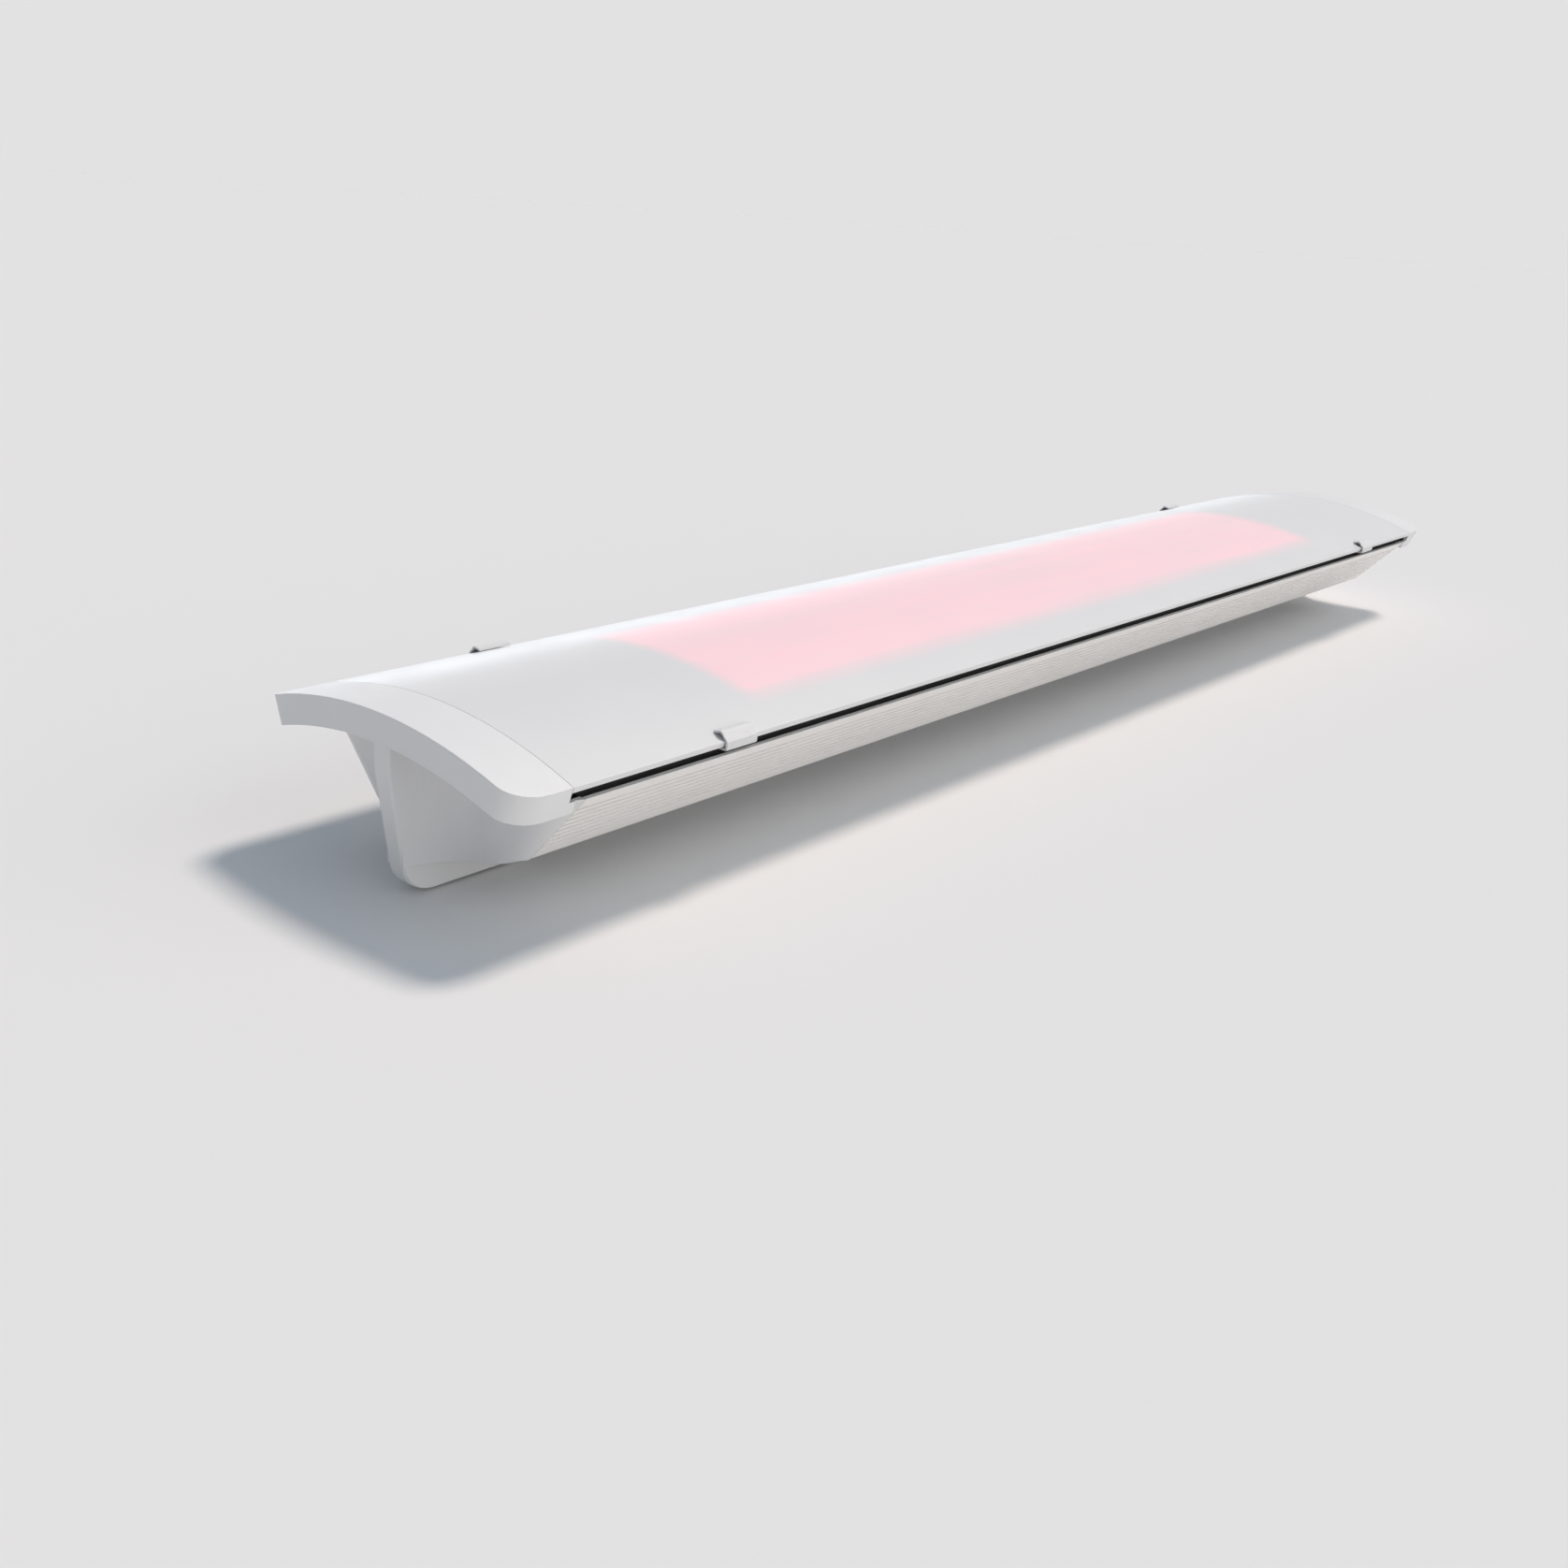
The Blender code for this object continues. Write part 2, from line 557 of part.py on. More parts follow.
def side_rails(finish, tape_finish):
    """Dark angle strips behind the ventilation slots, with a tape that the glass rests on.

    Their ends are notched to pass over the end caps' bodies.
    """
    outer, inner = SIDE_RAIL_OUTER_Y, SIDE_RAIL_INNER_Y
    outer_z = glass_under_z(outer) - SIDE_RAIL_DROP
    inner_z = glass_under_z(inner) - SIDE_RAIL_DROP
    bend = outer - SIDE_RAIL_T
    bend_z = outer_z + (inner_z - outer_z) * SIDE_RAIL_T / (outer - inner)
    tape_low, tape_high = GAP, SIDE_RAIL_DROP - GAP * 1.5
    strip = [(outer, SIDE_RAIL_LOW_Z), (outer, outer_z), (inner, inner_z),
             (inner, inner_z - SIDE_RAIL_T), (bend, bend_z - SIDE_RAIL_T), (bend, SIDE_RAIL_LOW_Z)]
    tape = [(outer, outer_z + tape_low), (outer, outer_z + tape_high),
            (inner, inner_z + tape_high), (inner, inner_z + tape_low)]
    for side, word in ((-1, "front"), (1, "rear")):
        rail = prism("side_rail_" + word, finish, [(side * y, z) for y, z in strip], -STRIP_END, STRIP_END)
        prism("glass_tape_" + word, tape_finish, [(side * y, z) for y, z in tape], -STRIP_END, STRIP_END)
        bm = bmesh.new()
        half = CLIP_LENGTH / 2 + CLIP_SLOT_CLEAR
        window = [(side * y, z) for y, z in
                  rectangle(bend - BITE, outer + BITE, CLIP_LEG_Z - CLIP_SLOT_CLEAR,
                            CLIP_LEG_Z + CLIP_T + CLIP_SLOT_CLEAR)]
        for x in (-CLIP_X, CLIP_X):
            add_prism(bm, window, x - half, x + half)
        notch = [(side * y, z) for y, z in
                 rectangle(bend - BITE, outer + BITE, SIDE_RAIL_LOW_Z - BITE, FLANK_TOP_Z + GAP)]
        for low, high in ((-HALF, GAP - BODY_END), (BODY_END - GAP, HALF)):
            add_prism(bm, notch, low, high)
        combine(rail, object_from(bm, "cut_slots_" + word, finish), "DIFFERENCE")


CLIP_TOP_Y = 89 * MM         # where the clip's toe touches the glass
CLIP_ARCH = 2 * MM           # how far the clip stands off the glass in between
CLIP_HOOK_Y = 84.5 * MM
CLIP_BARB = 1.5 * MM
CLIP_BEND = 0.7 * MM
CLIP_SEGMENTS = 8


def clip_outline():
    """Section of a spring clip: it arches over the glass edge and hooks into the side rail."""
    start = asin(CLIP_TOP_Y / ARC_RADIUS)
    over, under = [], []
    for i in range(CLIP_SEGMENTS + 1):
        share = i / CLIP_SEGMENTS
        angle = start + (TIP_ANGLE - start) * share
        rise = GAP + CLIP_ARCH * sin(pi * share) ** 2
        over.append(arc_point(ARC_RADIUS + rise + CLIP_T, angle))
        under.append(arc_point(ARC_RADIUS + rise, angle))
    inside_y = EDGE_HALF + GAP
    outside_y = inside_y + CLIP_T
    leg_low, leg_high = CLIP_LEG_Z, CLIP_LEG_Z + CLIP_T
    outer = over + [(outside_y, EDGE_Z), (outside_y, leg_high + CLIP_BEND),
                    (outside_y - CLIP_BEND / 2, leg_low + CLIP_BEND / 2),
                    (outside_y - CLIP_BEND * 2, leg_low), (CLIP_HOOK_Y + CLIP_T, leg_low),
                    (CLIP_HOOK_Y + CLIP_T, leg_low - CLIP_BARB),
                    (CLIP_HOOK_Y, leg_low - CLIP_BARB), (CLIP_HOOK_Y, leg_high)]
    inner = [(inside_y - CLIP_BEND, leg_high), (inside_y, leg_high + CLIP_BEND), (inside_y, EDGE_Z)]
    return outer + inner + under[::-1]


def glass_clips(finish):
    for side, across in ((-1, "front"), (1, "rear")):
        outline = [(side * y, z) for y, z in clip_outline()]
        for end, along in ((-1, "left"), (1, "right")):
            prism("glass_clip_%s_%s" % (across, along), finish, outline,
                  -CLIP_LENGTH / 2, CLIP_LENGTH / 2, location=(end * CLIP_X, 0, 0))


# ---------------------------------------------------------------- heating parts

TRAY_Z = 52 * MM
TRAY_T = 1 * MM
TRAY_HALF = 400 * MM
TRAY_FLOOR_Y = 70 * MM
TRAY_TOP_Y = 78 * MM
TRAY_TOP_Z = 68 * MM
BOARD_T = 9 * MM
SUPPORT_XS = [x * MM for x in (-330, -110, 110, 330)]
TUBE_YS = [TUBE_PITCH * (i - 1.5) for i in range(4)]


def reflector_tray(finish):
    outer = [(TRAY_FLOOR_Y, TRAY_Z), (TRAY_TOP_Y, TRAY_TOP_Z)]
    inner = [(TRAY_TOP_Y - TRAY_T, TRAY_TOP_Z), (TRAY_FLOOR_Y - TRAY_T, TRAY_Z + TRAY_T)]
    outline = mirrored(outer + inner)
    prism("reflector_tray", finish, outline, -TRAY_HALF, TRAY_HALF)


def insulation(finish, steel):
    """Fibre board under the tray, on four bent sheet supports that stand on the housing's back."""
    board_high = TRAY_Z - GAP
    board_low = board_high - BOARD_T
    prism("insulation_board", finish, rectangle(-62 * MM, 62 * MM, board_low, board_high),
          -TRAY_HALF + 5 * MM, TRAY_HALF - 5 * MM)
    low, high = BACK_TOP_Z + GAP, board_low - GAP
    sheet = 1.5 * MM
    foot_half, top_half = 49 * MM, 38 * MM
    outline = mirrored([(top_half, high), (top_half, low + sheet), (foot_half, low + sheet),
                        (foot_half, low), (top_half - sheet, low), (top_half - sheet, high - sheet)])
    half_width = 10 * MM
    for number, x in enumerate(SUPPORT_XS, start=1):
        prism("board_support_%d" % number, steel, outline, x - half_width, x + half_width)


def heating_tubes(quartz, ribbon, ceramic):
    """Four quartz tubes with flat ribbons inside, held in a ceramic bar at each end."""
    for number, y in enumerate(TUBE_YS, start=1):
        bm = bmesh.new()
        segments = 16
        rings = []
        for x, radius in ((-TUBE_HALF, TUBE_R), (TUBE_HALF, TUBE_R),
                          (TUBE_HALF, TUBE_BORE_R), (-TUBE_HALF, TUBE_BORE_R)):
            rings.append([bm.verts.new((x, y + radius * cos(2 * pi * i / segments),
                                        TUBE_Z + radius * sin(2 * pi * i / segments)))
                          for i in range(segments)])
        for low, high in zip(rings, rings[1:] + rings[:1]):
            for i in range(segments):
                j = (i + 1) % segments
                bm.faces.new((low[i], low[j], high[j], high[i]))
        object_from(bm, "heating_tube_%d" % number, quartz)

    ribbon_half, ribbon_t = 3 * MM, 0.6 * MM
    for number, y in enumerate(TUBE_YS, start=1):
        outline = rectangle(y - ribbon_half, y + ribbon_half, TUBE_Z - ribbon_t / 2, TUBE_Z + ribbon_t / 2)
        prism("heating_ribbon_%d" % number, ribbon, outline, -HOT_HALF, HOT_HALF)

    low, high = TRAY_Z + TRAY_T + GAP, TUBE_Z + TUBE_R + 2 * MM
    half_y, half_x = 66 * MM, 5 * MM
    for name, x in (("tube_holder_left", -HOLDER_X), ("tube_holder_right", HOLDER_X)):
        holder = prism(name, ceramic, rectangle(-half_y, half_y, low, high), x - half_x, x + half_x)
        cut_holes(holder, [(x, y, TUBE_Z) for y in TUBE_YS], TUBE_R + GAP,
                  -half_x * 2, half_x * 2, ceramic, axis=(1, 0, 0))


def end_plates(finish):
    """Sheet plates across the housing that close the heated space off from the end caps."""
    plate_x = 480 * MM
    plate_t = 1.5 * MM
    side_gap = SHEET_T + GAP * 2
    low, high = BACK_TOP_Z + GAP, SIDE_RAIL_LOW_Z - 2 * MM
    outline = mirrored([(flank_y(low, side_gap), low), (flank_y(high, side_gap), high)])
    for name, x in (("end_plate_left", -plate_x), ("end_plate_right", plate_x - plate_t)):
        prism(name, finish, outline, x, x + plate_t)


# ---------------------------------------------------------------- electrical parts

BLOCK_X = 446 * MM
BLOCK_WAYS = 4
BLOCK_PITCH = 10 * MM


def terminal_block(finish):
    """Ceramic connector block with a barrier between its ways."""
    low = BACK_TOP_Z + GAP
    seat, barrier_top = low + 9 * MM, low + 15 * MM
    barrier = 1 * MM
    y = -BLOCK_WAYS * BLOCK_PITCH / 2
    outline = [(y - barrier, low), (y - barrier, barrier_top)]
    for way in range(BLOCK_WAYS):
        left = y + way * BLOCK_PITCH + barrier
        right = left + BLOCK_PITCH - 2 * barrier
        outline += [(left, barrier_top), (left, seat), (right, seat), (right, barrier_top)]
    end_y = -y + barrier
    outline += [(end_y, barrier_top), (end_y, low)]
    half = 9 * MM
    shift = -14 * MM
    prism("terminal_block", finish, [(a + shift, b) for a, b in outline], BLOCK_X - half, BLOCK_X + half)


CUTOUT = (412 * MM, -36 * MM, 0)


def thermal_cutout(finish):
    low = BACK_TOP_Z + GAP
    flange_r, can_r = 9 * MM, 7.5 * MM
    turned("thermal_cutout", finish,
           [(0, low), (flange_r, low), (flange_r, low + 1 * MM), (can_r, low + 1 * MM),
            (can_r, low + 8 * MM), (can_r - 1 * MM, low + 9 * MM), (0, low + 9 * MM)],
           CUTOUT, (0, 0, 1))


EARTH_STUD = (471 * MM, -40 * MM, 0)


def earth_stud(finish):
    low = BACK_TOP_Z + GAP
    nut_r, stud_r = 4 * MM, 2 * MM
    turned("earth_stud", finish,
           [(0, low), (nut_r, low), (nut_r, low + 3 * MM), (stud_r, low + 3 * MM),
            (stud_r, low + 10 * MM), (0, low + 10 * MM)],
           EARTH_STUD, (0, 0, 1))


def smooth_route(points, steps=6):
    """Points on a smooth curve through a wire's own points."""
    ends = [points[0] * 2 - points[1]] + points + [points[-1] * 2 - points[-2]]
    route = []
    for before, start, stop, after in zip(ends, ends[1:], ends[2:], ends[3:]):
        for i in range(steps):
            t = i / steps
            route.append(((start * 2) + (stop - before) * t
                          + (before * 2 - start * 5 + stop * 4 - after) * t ** 2
                          + (start * 3 - before - stop * 3 + after) * t ** 3) / 2)
    return route + [points[-1]]


def wire(name, finish, points, radius=1.2 * MM, steps=6):
    data = bpy.data.curves.new(name, "CURVE")
    data.dimensions = "3D"
    data.bevel_depth = radius
    data.bevel_resolution = 2
    data.use_fill_caps = True
    route = smooth_route([Vector(point) * MM for point in points], steps)
    spline = data.splines.new("POLY")
    spline.points.add(len(route) - 1)
    for knot, place in zip(spline.points, route):
        knot.co = (*place, 1.0)
    data.materials.append(finish)
    obj = bpy.data.objects.new(name, data)
    bpy.context.scene.collection.objects.link(obj)


def wiring(live, neutral, earth):
    """Leads from the connector block to the tubes' two ends and to the earth stud, in mm."""
    wire("wire_live", live, [(436, -8, 44), (428, -8, 48), (418, -12, 56), (408, -18, 61), (400, -18, 61)])
    wire("wire_neutral", neutral, [(436, 2, 44), (429, 6, 43), (420, 30, 38), (405, 52, 36), (380, 55, 36),
                                   (-380, 55, 36), (-402, 52, 38), (-412, 42, 50), (-409, 24, 60),
                                   (-400, 18, 61)], steps=4)
    wire("wire_earth", earth, [(456, -28, 44), (460, -30, 45), (465, -35, 43), (468, -38, 41)])


def terminal_cover(finish, seal_finish, steel):
    """Service cover under the housing's back, with its seal and two screws."""
    flange_half_x = COVER_HALF_X + COVER_FLANGE
    plan = [(COVER_X + x, COVER_Y + y) for x, y in rounded_rectangle(flange_half_x, COVER_HALF_Y, 4 * MM)]
    box = [(COVER_X + x, COVER_Y + y) for x, y in rounded_rectangle(COVER_HALF_X, COVER_HALF_Y, 4 * MM)]
    hollow = [(COVER_X + x, COVER_Y + y)
              for x, y in rounded_rectangle(COVER_HALF_X - COVER_WALL, COVER_HALF_Y - COVER_WALL, 2 * MM)]
    flange_low = COVER_TOP_Z - COVER_WALL
    cover = prism("terminal_cover", finish, plan, flange_low, COVER_TOP_Z, "Z")
    body = prism("add_cover_box", finish, box, COVER_TOP_Z - COVER_DEPTH, COVER_TOP_Z, "Z")
    combine(cover, body, "UNION")
    inside = prism("cut_cover_box", finish, hollow, COVER_TOP_Z - COVER_DEPTH + COVER_WALL,
                   COVER_TOP_Z + COVER_WALL, "Z")
    combine(cover, inside, "DIFFERENCE")
    level = [(x, y, 0) for x, y, z in COVER_SCREWS]
    cut_holes(cover, level, SCREW_HOLE_R, flange_low - COVER_WALL, COVER_TOP_Z + COVER_WALL, finish)
    bore_r, bore_half = GLAND_NECK_R + GAP, COVER_WALL * 2
    bore = turned("cut_gland_bore", finish,
                  [(0, -bore_half), (bore_r, -bore_half), (bore_r, bore_half), (0, bore_half)],
                  (COVER_X - COVER_HALF_X, GLAND_Y, GLAND_Z), (1, 0, 0))
    combine(cover, bore, "DIFFERENCE")

    seal_low = COVER_TOP_Z + GAP
    seal = prism("cover_seal", seal_finish, plan, seal_low, seal_low + COVER_SEAL_T, "Z")
    middle = prism("cut_seal_middle", seal_finish, hollow, seal_low - COVER_WALL,
                   seal_low + COVER_SEAL_T + COVER_WALL, "Z")
    combine(seal, middle, "DIFFERENCE")
    cut_holes(seal, level, SCREW_HOLE_R, seal_low - COVER_WALL, seal_low + COVER_WALL * 2, seal_finish)
    screws("cover_screw", steel, COVER_SCREWS, 9 * MM)


def cable_gland(finish):
    """The supply lead's gland on the cover: a body with its neck in the cover, and a dome nut."""
    face_x = COVER_X - COVER_HALF_X - GAP
    body_length, dome_length = 9 * MM, 11 * MM
    bore_r = 3.2 * MM
    neck_inside = COVER_WALL + GAP + 1.5 * MM

    def hollow_turned(name, rings, x, segments):
        bm = bmesh.new()
        rows = [[bm.verts.new((x - along, GLAND_Y + radius * cos(2 * pi * i / segments),
                               GLAND_Z + radius * sin(2 * pi * i / segments)))
                 for i in range(segments)] for radius, along in rings]
        for low, high in zip(rows, rows[1:] + rows[:1]):
            for i in range(segments):
                j = (i + 1) % segments
                bm.faces.new((low[i], low[j], high[j], high[i]))
        return object_from(bm, name, finish)

    hollow_turned("gland_body", [(GLAND_NECK_R, -neck_inside), (GLAND_NECK_R, 0), (GLAND_BODY_R, 0),
                                 (GLAND_BODY_R, body_length - 3 * MM), (GLAND_BODY_R - 1 * MM, body_length),
                                 (bore_r, body_length), (bore_r, -neck_inside)], face_x, 18)
    dome_x = face_x - body_length - GAP
    hollow_turned("gland_nut", [(GLAND_BODY_R, 0), (GLAND_BODY_R, dome_length * 0.6),
                                (GLAND_BODY_R - 1.5 * MM, dome_length * 0.9),
                                (bore_r + 1.5 * MM, dome_length), (bore_r, dome_length), (bore_r, 0)],
                  dome_x, 18)


# ---------------------------------------------------------------- the heater

def build():
    clear_scene()
    white_glass = material("white_glass_ceramic", (0.86, 0.86, 0.87), 0.18, emission=(1.0, 0.45, 0.45))
    white_cap = material("white_cap", (0.84, 0.84, 0.84), 0.38)
    white_alloy = material("white_coated_aluminium", (0.78, 0.77, 0.75), 0.42, 0.1)
    rail_alloy = material("anodised_aluminium", (0.72, 0.72, 0.73), 0.38, 0.8)
    clip_steel = material("white_spring_steel", (0.86, 0.86, 0.86), 0.3)
    black_steel = material("black_coated_steel", (0.02, 0.02, 0.02), 0.6, 0.2)
    fibre = material("fibre_tape", (0.07, 0.07, 0.07), 0.95)
    mirror_alloy = material("polished_aluminium", (0.9, 0.9, 0.9), 0.12, 1.0)
    board = material("insulation_board", (0.82, 0.79, 0.72), 0.95)
    zinc = material("zinc_plated_steel", (0.62, 0.63, 0.65), 0.35, 0.9)
    quartz = material("quartz", (0.95, 0.92, 0.9), 0.08)
    hot_ribbon = material("heating_ribbon", (0.5, 0.1, 0.05), 0.7, emission=(1.0, 0.2, 0.05))
    ceramic = material("steatite", (0.88, 0.86, 0.8), 0.6)
    rubber = material("silicone", (0.05, 0.05, 0.05), 0.8)
    black_plastic = material("black_polyamide", (0.03, 0.03, 0.03), 0.5)
    brown = material("brown_lead", (0.25, 0.1, 0.04), 0.6)
    blue = material("blue_lead", (0.04, 0.12, 0.5), 0.6)
    green = material("green_lead", (0.1, 0.45, 0.1), 0.6)

    end_caps(white_cap)
    housing(white_alloy)
    rear_rail(rail_alloy)
    slide_nuts(zinc)
    glass_panel(white_glass)
    side_rails(black_steel, fibre)
    glass_clips(clip_steel)
    reflector_tray(mirror_alloy)
    insulation(board, zinc)
    heating_tubes(quartz, hot_ribbon, ceramic)
    end_plates(zinc)
    terminal_block(ceramic)
    thermal_cutout(zinc)
    earth_stud(zinc)
    wiring(brown, blue, green)
    terminal_cover(white_alloy, rubber, zinc)
    cable_gland(black_plastic)
    screws("rail_screw", zinc, RAIL_SCREWS, 9 * MM)
    screws("cap_screw", zinc, CAP_SCREWS, 11 * MM)


build()
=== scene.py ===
"""Finishes, floor, light and camera for the electric infrared radiant heater, in metres."""

import math

import bpy
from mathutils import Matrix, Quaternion, Vector


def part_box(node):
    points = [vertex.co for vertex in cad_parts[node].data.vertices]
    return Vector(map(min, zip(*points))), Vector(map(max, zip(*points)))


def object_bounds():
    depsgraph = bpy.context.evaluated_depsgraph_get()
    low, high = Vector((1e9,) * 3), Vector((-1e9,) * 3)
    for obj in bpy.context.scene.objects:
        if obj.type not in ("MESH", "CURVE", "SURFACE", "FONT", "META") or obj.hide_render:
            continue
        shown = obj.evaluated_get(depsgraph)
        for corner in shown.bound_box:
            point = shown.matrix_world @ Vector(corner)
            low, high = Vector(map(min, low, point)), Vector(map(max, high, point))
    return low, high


MM = 0.001

# Camera: it looks along the heater from its left front corner, a little rolled.
CAMERA_PLACE = Vector((-0.9460, -0.5660, 0.3201))
CAMERA_AIM = Vector((-0.2207, 0.0276, -0.0286))
CAMERA_ROLL = math.radians(3.86)
LENS_MM = 35.25
SENSOR_MM = 36.0

# Light: a warm soft key from above the right end, a broad fill from the front, a low panel
# behind that only reflections show, and a sky that is bluish overhead and dimmer on the left.
KEY_TRAVEL = Vector((-0.52, 0.07, -1.0))
KEY_ANGLE = math.radians(12)
KEY_POWER = 1.98
KEY_COLOUR = (1.0, 0.886, 0.807)
FILL_TRAVEL = Vector((-0.33, 0.88, -0.34))
FILL_ANGLE = math.radians(70)
FILL_POWER = 0.83
FILL_COLOUR = (1.0, 0.95, 0.88)
HORIZON_COLOUR = (0.76, 0.76, 0.76)
ZENITH_COLOUR = (0.347, 0.425, 0.512)
HORIZON_TOP, ZENITH_START = 0.14, 0.45      # along Z, of a direction of length 1
DIM_SIDE, BRIGHT_SIDE = -0.7, 0.3           # along X, of a direction of length 1
DIM_SHARE = 0.55
PANEL_PLACE = Vector((1.0, 0.65, 0.075))
PANEL_TRAVEL = Vector((0.0, -1.0, 0.0))
PANEL_SIZE = (2.8, 0.15)
PANEL_POWER = 1.5
PANEL_COLOUR = (0.80, 0.90, 1.0)
FLOOR_HALF = 60.0
FLOOR_CLOUD = 2.0
FLOOR_COLOUR = (0.79, 0.785, 0.78, 1)
FLOOR_SHADE = 0.005

# How far the glow reaches past the heating ribbons, or falls short of them if negative, and
# half the length over which it fades there.
GLOW_LEFT, GLOW_LEFT_FADE = 9 * MM, 9 * MM
GLOW_RIGHT, GLOW_RIGHT_FADE = -22 * MM, 16 * MM
GLOW_FRONT, GLOW_FRONT_FADE = 13 * MM, 12 * MM
GLOW_REAR, GLOW_REAR_FADE = -13 * MM, 16 * MM
GLOW_STRENGTH = 0.25
RIBBON_STRENGTH = 2.0
SHARP_ANGLE = math.radians(28)
WELD = 0.004 * MM
# How far the painted shade in the ribs' grooves reaches.
PAINTED_SHADE_REACH = 4 * MM
BROAD, MIDDLE = (0.25, 0.75), (0.3, 0.7)    # parts of a noise's range that a span stretches
MIX_LOW, MIX_HIGH, MIX_RESULT = 6, 7, 2     # a Mix node's sockets for colours
SOCKETS = {
    "ior": "IOR",
    "metallic": "Metallic",
    "specular": "Specular IOR Level",
    "coat": "Coat Weight",
    "coat_roughness": "Coat Roughness",
    "transmission": "Transmission Weight",
    "sheen": "Sheen Weight",
}

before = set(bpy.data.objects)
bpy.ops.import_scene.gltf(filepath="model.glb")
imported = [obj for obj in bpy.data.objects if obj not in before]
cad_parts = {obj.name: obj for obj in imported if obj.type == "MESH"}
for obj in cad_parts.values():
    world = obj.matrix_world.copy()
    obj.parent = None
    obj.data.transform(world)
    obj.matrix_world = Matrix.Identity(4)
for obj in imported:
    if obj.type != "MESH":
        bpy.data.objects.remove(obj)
cad_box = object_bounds()


def grey(value, warmth=0.0):
    """An opaque grey; warmth above 0 leans to yellow, below 0 to blue."""
    return (value * (1 + warmth), value, value * (1 - warmth), 1)


class Finish:
    """A material, with one short call for each kind of node its surface needs."""

    def __init__(self, name, **sockets):
        self.material = bpy.data.materials.new(name)
        self.material.use_nodes = True
        self.tree = self.material.node_tree
        self.shader = self.tree.nodes["Principled BSDF"]
        for socket, value in sockets.items():
            self.shader.inputs[SOCKETS[socket]].default_value = value

    def node(self, kind, settings, inputs):
        """A node of this kind, with its settings and its sockets' values or links."""
        made = self.tree.nodes.new("ShaderNode" + kind)
        for key, value in settings.items():
            setattr(made, key, value)
        for socket, value in inputs.items():
            self.feed(made.inputs[socket], value)
        return made

    def feed(self, socket, value):
        """Links a node's output to the socket, or sets the socket to a plain value."""
        if isinstance(value, bpy.types.NodeSocket):
            self.tree.links.new(value, socket)
        else:
            socket.default_value = value

    def place(self):
        """Where on the object a point lies, in metres."""
        return self.node("TexCoord", {}, {}).outputs["Object"]

    def axes(self):
        """The point's place along X, Y and Z, as three sockets."""
        return self.node("SeparateXYZ", {}, {0: self.place()}).outputs

    def noise(self, size, stretch=(1, 1, 1), detail=3.0):
        """Cloudy noise from 0 to 1 with spots of about this size, drawn out along some axes."""
        scale = [1 / (size * s) for s in stretch]
        moved = self.node("Mapping", {}, {"Vector": self.place(), "Scale": scale})
        made = self.node("TexNoise", {}, {"Vector": moved.outputs[0], "Scale": 1.0, "Detail": detail})
        return made.outputs["Fac"]

    def span(self, value, start, end, low=0.0, high=1.0):
        """value from start to end, turned smoothly into low to high."""
        settings = {"interpolation_type": "SMOOTHSTEP"}
        inputs = {"Value": value, "From Min": start, "From Max": end, "To Min": low, "To Max": high}
        return self.node("MapRange", settings, inputs).outputs["Result"]

    def calculate(self, operation, first, second=0.0):
        """A Math node's result for one or two values."""
        return self.node("Math", {"operation": operation}, {0: first, 1: second}).outputs[0]

    def mix(self, share, low, high):
        """The colour low where share is 0, and high where it is 1."""
        made = self.node("Mix", {"data_type": "RGBA"}, {"Factor": share})
        self.feed(made.inputs[MIX_LOW], low)
        self.feed(made.inputs[MIX_HIGH], high)
        return made.outputs[MIX_RESULT]

    def plain_normal(self):
        """The surface's own normal."""
        return self.node("NewGeometry", {}, {}).outputs["Normal"]

    def rounded(self, radius):
        """Normals that round every edge off by this radius."""
        return self.node("Bevel", {"samples": 4}, {"Radius": radius}).outputs[0]

    def edges(self, radius):
        """1 along the edges and 0 on the flats, about radius wide."""
        sockets = {0: self.rounded(radius), 1: self.plain_normal()}
        turned = self.node("VectorMath", {"operation": "DOT_PRODUCT"}, sockets)
        return self.span(turned.outputs["Value"], 0.99, 0.86)

    def painted_shade(self, reach):
        """Painted shade for colours: 1 deep in grooves and corners that other faces within reach shut in,
        and 0 in the open.
        """
        shut = self.node("AmbientOcclusion", {"samples": 16}, {"Distance": reach}).outputs["AO"]
        return self.span(shut, 0.85, 0.35)

    def relief(self, height, depth, under):
        """Fine bumps of this depth, on top of the normals under them."""
        sockets = {"Height": height, "Distance": depth, "Strength": 1.0, "Normal": under}
        return self.node("Bump", {}, sockets).outputs[0]

    def wear(self, colour, radius, rubbed, amount):
        """The colour with its edges rubbed towards another colour, more in some places."""
        patches = self.span(self.noise(9 * MM), 0.38, 0.66, 0.15, amount)
        return self.mix(self.calculate("MULTIPLY", self.edges(radius), patches), colour, rubbed)

    def finish(self, colour, roughness, normal):
        """Feeds the shader's colour, roughness and normal, and hands back the material."""
        self.feed(self.shader.inputs["Base Color"], colour)
        self.feed(self.shader.inputs["Roughness"], roughness)
        self.feed(self.shader.inputs["Normal"], normal)
        return self.material


